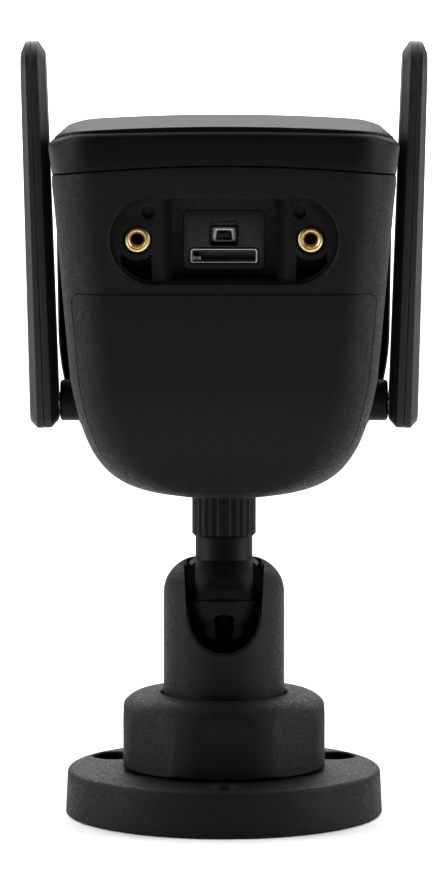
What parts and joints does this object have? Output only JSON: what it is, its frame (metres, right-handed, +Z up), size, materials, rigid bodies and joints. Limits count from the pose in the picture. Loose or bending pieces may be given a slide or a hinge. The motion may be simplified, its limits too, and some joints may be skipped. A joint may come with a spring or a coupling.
{
  "type": "security camera",
  "caption": "Outdoor bullet camera with two folding side antennas, on a ball-joint wall bracket with a locking nut; service bay open at the rear.",
  "frame": {"origin": "centre of the bracket's flat underside", "axes": "+Z up through the bracket and stem, lens looks along -Y, service bay faces +Y, +X across the head"},
  "size_m": [0.0794, 0.1023, 0.1529],
  "materials": {
    "grained_housing": "spark-eroded grain, matte black",
    "satin_housing": "fine satin black",
    "inner_plastic": "plain moulded black",
    "gloss_window": "polished, dark tinted",
    "rubber_seal": "moulded, matte",
    "brass_inserts": "turned, bright",
    "steel_parts": "stamped, tinned",
    "aluminium_parts": "satin",
    "circuit_board": "solder mask over glass laminate",
    "lens_glass": "coated, polished",
    "clear_plastic": "clear, polished",
    "lamp_yellow": "phosphor over a white package"
  },
  "bodies": {
    "wall_base": {"base_plate": "grained_housing", "ball_seat": "inner_plastic"},
    "clamp_washer": {"nut_washer": "inner_plastic"},
    "lock_nut": {"lock_nut": "grained_housing"},
    "socket": {"socket_tube": "grained_housing"},
    "arm": {"ball_stem": "satin_housing", "ball_cap": "satin_housing"},
    "head": {"rear_shell": "grained_housing", "service_tray": "grained_housing", "lower_rear_cover": "grained_housing", "front_shell": "grained_housing", "top_hood": "satin_housing", "top_shield": "satin_housing", "shell_seal": "rubber_seal", "stem_collar": "satin_housing", "collar_ring": "steel_parts", "thread_insert_left": "brass_inserts", "thread_insert_right": "brass_inserts", "service_panel": "inner_plastic", "card_socket": "steel_parts", "reset_switch": "steel_parts", "service_board": "circuit_board", "main_board": "circuit_board", "shield_can": "steel_parts", "heat_spreader": "aluminium_parts", "speaker": "inner_plastic", "front_bezel": "satin_housing", "front_window": "gloss_window", "front_board": "circuit_board", "lens_barrel": "satin_housing", "lens_glass": "lens_glass", "lens_holder": "inner_plastic", "image_sensor": "inner_plastic", "sensor_board": "circuit_board", "spot_reflector_left": "aluminium_parts", "spot_lens_left": "clear_plastic", "spot_lamp_left": "lamp_yellow", "infrared_lamp_left": "clear_plastic", "spot_reflector_right": "aluminium_parts", "spot_lens_right": "clear_plastic", "spot_lamp_right": "lamp_yellow", "infrared_lamp_right": "clear_plastic", "light_sensor": "clear_plastic", "status_light": "clear_plastic", "microphone": "steel_parts", "antenna_rest_left": "rubber_seal", "antenna_rest_right": "rubber_seal"},
    "antenna_left": {"antenna_inner_left": "satin_housing", "antenna_outer_left": "satin_housing", "antenna_element_left": "circuit_board", "antenna_pin_left": "steel_parts"},
    "antenna_right": {"antenna_inner_right": "satin_housing", "antenna_outer_right": "satin_housing", "antenna_element_right": "circuit_board", "antenna_pin_right": "steel_parts"},
    "reset_button": {"reset_button": "inner_plastic"},
    "infrared_filter": {"infrared_filter_frame": "inner_plastic", "infrared_filter_glass": "lens_glass"}
  },
  "joints": [
    {"name": "nut_lift", "type": "slide", "parent": "wall_base", "child": "clamp_washer", "axis": [0, 0, 1], "range_m": [0, 0.002]},
    {"name": "nut_turn", "type": "hinge", "parent": "clamp_washer", "child": "lock_nut", "pos_m": [0, 0, 0.015], "axis": [0, 0, 1], "range_deg": [0, 361]},
    {"name": "pan", "type": "hinge", "parent": "wall_base", "child": "socket", "pos_m": [0, 0, 0.03], "axis": [0, 0, 1], "range_deg": [-180, 180]},
    {"name": "tilt", "type": "hinge", "parent": "socket", "child": "arm", "pos_m": [0, 0, 0.043], "axis": [1, 0, 0], "range_deg": [-90, 8]},
    {"name": "swivel", "type": "hinge", "parent": "arm", "child": "head", "pos_m": [0, 0, 0.06], "axis": [0, 0, 1], "range_deg": [-90, 90]},
    {"name": "antenna_left_fold", "type": "hinge", "parent": "head", "child": "antenna_left", "pos_m": [-0.0324, 0.005, 0.0826], "axis": [1, 0, 0], "range_deg": [-90, 90]},
    {"name": "antenna_right_fold", "type": "hinge", "parent": "head", "child": "antenna_right", "pos_m": [0.0324, 0.005, 0.0826], "axis": [1, 0, 0], "range_deg": [-90, 90]},
    {"name": "reset_press", "type": "slide", "parent": "head", "child": "reset_button", "axis": [0, -1, 0], "range_m": [0, 0.00025], "stiffness_N_per_m": 400},
    {"name": "infrared_filter_slide", "type": "slide", "parent": "head", "child": "infrared_filter", "axis": [1, 0, 0], "range_m": [0, 0.01]}
  ],
  "couplings": [
    {"joint": "nut_turn", "follows": "nut_lift", "rad_per_m": 3141.6}
  ]
}
